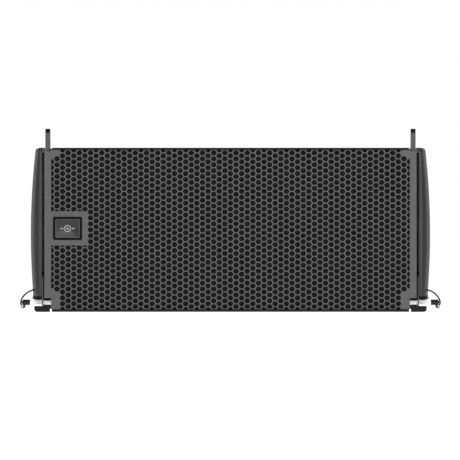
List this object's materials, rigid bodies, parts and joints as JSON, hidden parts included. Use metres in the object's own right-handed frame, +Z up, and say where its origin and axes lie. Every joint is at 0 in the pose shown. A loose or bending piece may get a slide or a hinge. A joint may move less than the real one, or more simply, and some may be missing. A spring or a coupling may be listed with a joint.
{
  "type": "line array speaker",
  "caption": "Compact wedge-shaped line array loudspeaker with perforated front grille, moulded side caps, sliding link bars and lanyard-tethered quick-release pins.",
  "frame": {"origin": "under the middle of the whole loudspeaker, at the height of the cabinet's bottom front edge", "axes": "+X to the right as seen from the front, -Y out of the grille, +Z up"},
  "size_m": [0.6424, 0.38, 0.2796],
  "materials": {
    "cabinet_paint": "plywood with a matt black textured coating",
    "panel_paint": "matt black powder coat",
    "plywood": "bare birch plywood",
    "grille_coat": "dark grey powder coat on perforated steel",
    "foam": "black open-cell acoustic foam",
    "driver_frame": "black painted cast basket",
    "cone_paper": "black coated paper cone",
    "magnet_steel": "zinc plated steel",
    "horn_plastic": "black moulded horn",
    "board": "green circuit board",
    "copper": "lacquered copper winding",
    "film": "amber film capacitor",
    "cap_plastic": "dark grey moulded plastic, fine texture",
    "socket_plastic": "blue-black moulded socket",
    "rigging_steel": "grey-black powder coated steel",
    "foot_plastic": "black moulded plastic",
    "pin_chrome": "bright polished steel",
    "handle_plastic": "black moulded handle",
    "bright_steel": "bright zinc plated steel",
    "wire": "black plastic coated wire rope",
    "badge_trim": "gloss black rim",
    "badge_metal": "dark grey satin plate, plain"
  },
  "bodies": {
    "root": {"badge_frame": "badge_trim", "badge_plate": "badge_metal", "cabinet_shell": "cabinet_paint", "channel_spacer_left": "foot_plastic", "channel_spacer_right": "foot_plastic", "compression_driver": "magnet_steel", "crossover_board": "board", "crossover_capacitor": "film", "crossover_inductor": "copper", "front_baffle": "plywood", "front_foot_left": "foot_plastic", "front_foot_right": "foot_plastic", "front_grille": "grille_coat", "front_rigging_cheek_left": "rigging_steel", "front_rigging_cheek_right": "rigging_steel", "front_stop_pin_left": "bright_steel", "front_stop_pin_right": "bright_steel", "grille_foam": "foam", "horn_waveguide": "horn_plastic", "inner_rigging_plate_left": "rigging_steel", "inner_rigging_plate_right": "rigging_steel", "input_socket": "socket_plastic", "link_socket": "socket_plastic", "rear_input_panel": "panel_paint", "rear_rigging_cheek_left": "rigging_steel", "rear_rigging_cheek_right": "rigging_steel", "rear_stop_pin_left": "bright_steel", "rear_stop_pin_right": "bright_steel", "side_cap_left": "cap_plastic", "side_cap_right": "cap_plastic", "woofer_basket_left": "driver_frame", "woofer_basket_right": "driver_frame", "woofer_cone_left": "cone_paper", "woofer_cone_right": "cone_paper", "woofer_magnet_left": "magnet_steel", "woofer_magnet_right": "magnet_steel"},
    "front_link_left": {"front_link_bar_left": "rigging_steel"},
    "rear_angle_left": {"rear_angle_bar_left": "rigging_steel"},
    "front_pin_left": {"front_pin_shaft_left": "pin_chrome", "front_pin_handle_left": "handle_plastic", "front_lanyard_left": "wire", "front_pin_ring_left": "bright_steel"},
    "front_button_left": {"front_pin_button_left": "bright_steel"},
    "rear_pin_left": {"rear_pin_shaft_left": "pin_chrome", "rear_pin_handle_left": "handle_plastic", "rear_lanyard_left": "wire"},
    "rear_button_left": {"rear_pin_button_left": "bright_steel"},
    "front_link_right": {"front_link_bar_right": "rigging_steel"},
    "rear_angle_right": {"rear_angle_bar_right": "rigging_steel"},
    "front_pin_right": {"front_pin_shaft_right": "pin_chrome", "front_pin_handle_right": "handle_plastic", "front_lanyard_right": "wire", "front_pin_ring_right": "bright_steel"},
    "front_button_right": {"front_pin_button_right": "bright_steel"},
    "rear_pin_right": {"rear_pin_shaft_right": "pin_chrome", "rear_pin_handle_right": "handle_plastic", "rear_lanyard_right": "wire"},
    "rear_button_right": {"rear_pin_button_right": "bright_steel"}
  },
  "joints": [
    {"name": "front_link_left_slide", "type": "slide", "parent": "root", "child": "front_link_left", "axis": [0, 0, 1], "range_m": [-0.031, 0]},
    {"name": "rear_angle_left_slide", "type": "slide", "parent": "root", "child": "rear_angle_left", "axis": [0, 0, 1], "range_m": [0, 0.045]},
    {"name": "front_pin_left_slide", "type": "slide", "parent": "root", "child": "front_pin_left", "axis": [-1, 0, 0], "range_m": [0, 0.026], "deforming": ["front_lanyard_left"]},
    {"name": "front_button_left_press", "type": "slide", "parent": "front_pin_left", "child": "front_button_left", "axis": [1, 0, 0], "range_m": [0, 0.0012], "stiffness_N_per_m": 900},
    {"name": "rear_pin_left_slide", "type": "slide", "parent": "root", "child": "rear_pin_left", "axis": [-1, 0, 0], "range_m": [0, 0.026], "deforming": ["rear_lanyard_left"]},
    {"name": "rear_button_left_press", "type": "slide", "parent": "rear_pin_left", "child": "rear_button_left", "axis": [1, 0, 0], "range_m": [0, 0.0012], "stiffness_N_per_m": 900},
    {"name": "front_link_right_slide", "type": "slide", "parent": "root", "child": "front_link_right", "axis": [0, 0, 1], "range_m": [-0.031, 0]},
    {"name": "rear_angle_right_slide", "type": "slide", "parent": "root", "child": "rear_angle_right", "axis": [0, 0, 1], "range_m": [0, 0.045]},
    {"name": "front_pin_right_slide", "type": "slide", "parent": "root", "child": "front_pin_right", "axis": [1, 0, 0], "range_m": [0, 0.026], "deforming": ["front_lanyard_right"]},
    {"name": "front_button_right_press", "type": "slide", "parent": "front_pin_right", "child": "front_button_right", "axis": [-1, 0, 0], "range_m": [0, 0.0012], "stiffness_N_per_m": 900},
    {"name": "rear_pin_right_slide", "type": "slide", "parent": "root", "child": "rear_pin_right", "axis": [1, 0, 0], "range_m": [0, 0.026], "deforming": ["rear_lanyard_right"]},
    {"name": "rear_button_right_press", "type": "slide", "parent": "rear_pin_right", "child": "rear_button_right", "axis": [-1, 0, 0], "range_m": [0, 0.0012], "stiffness_N_per_m": 900}
  ]
}
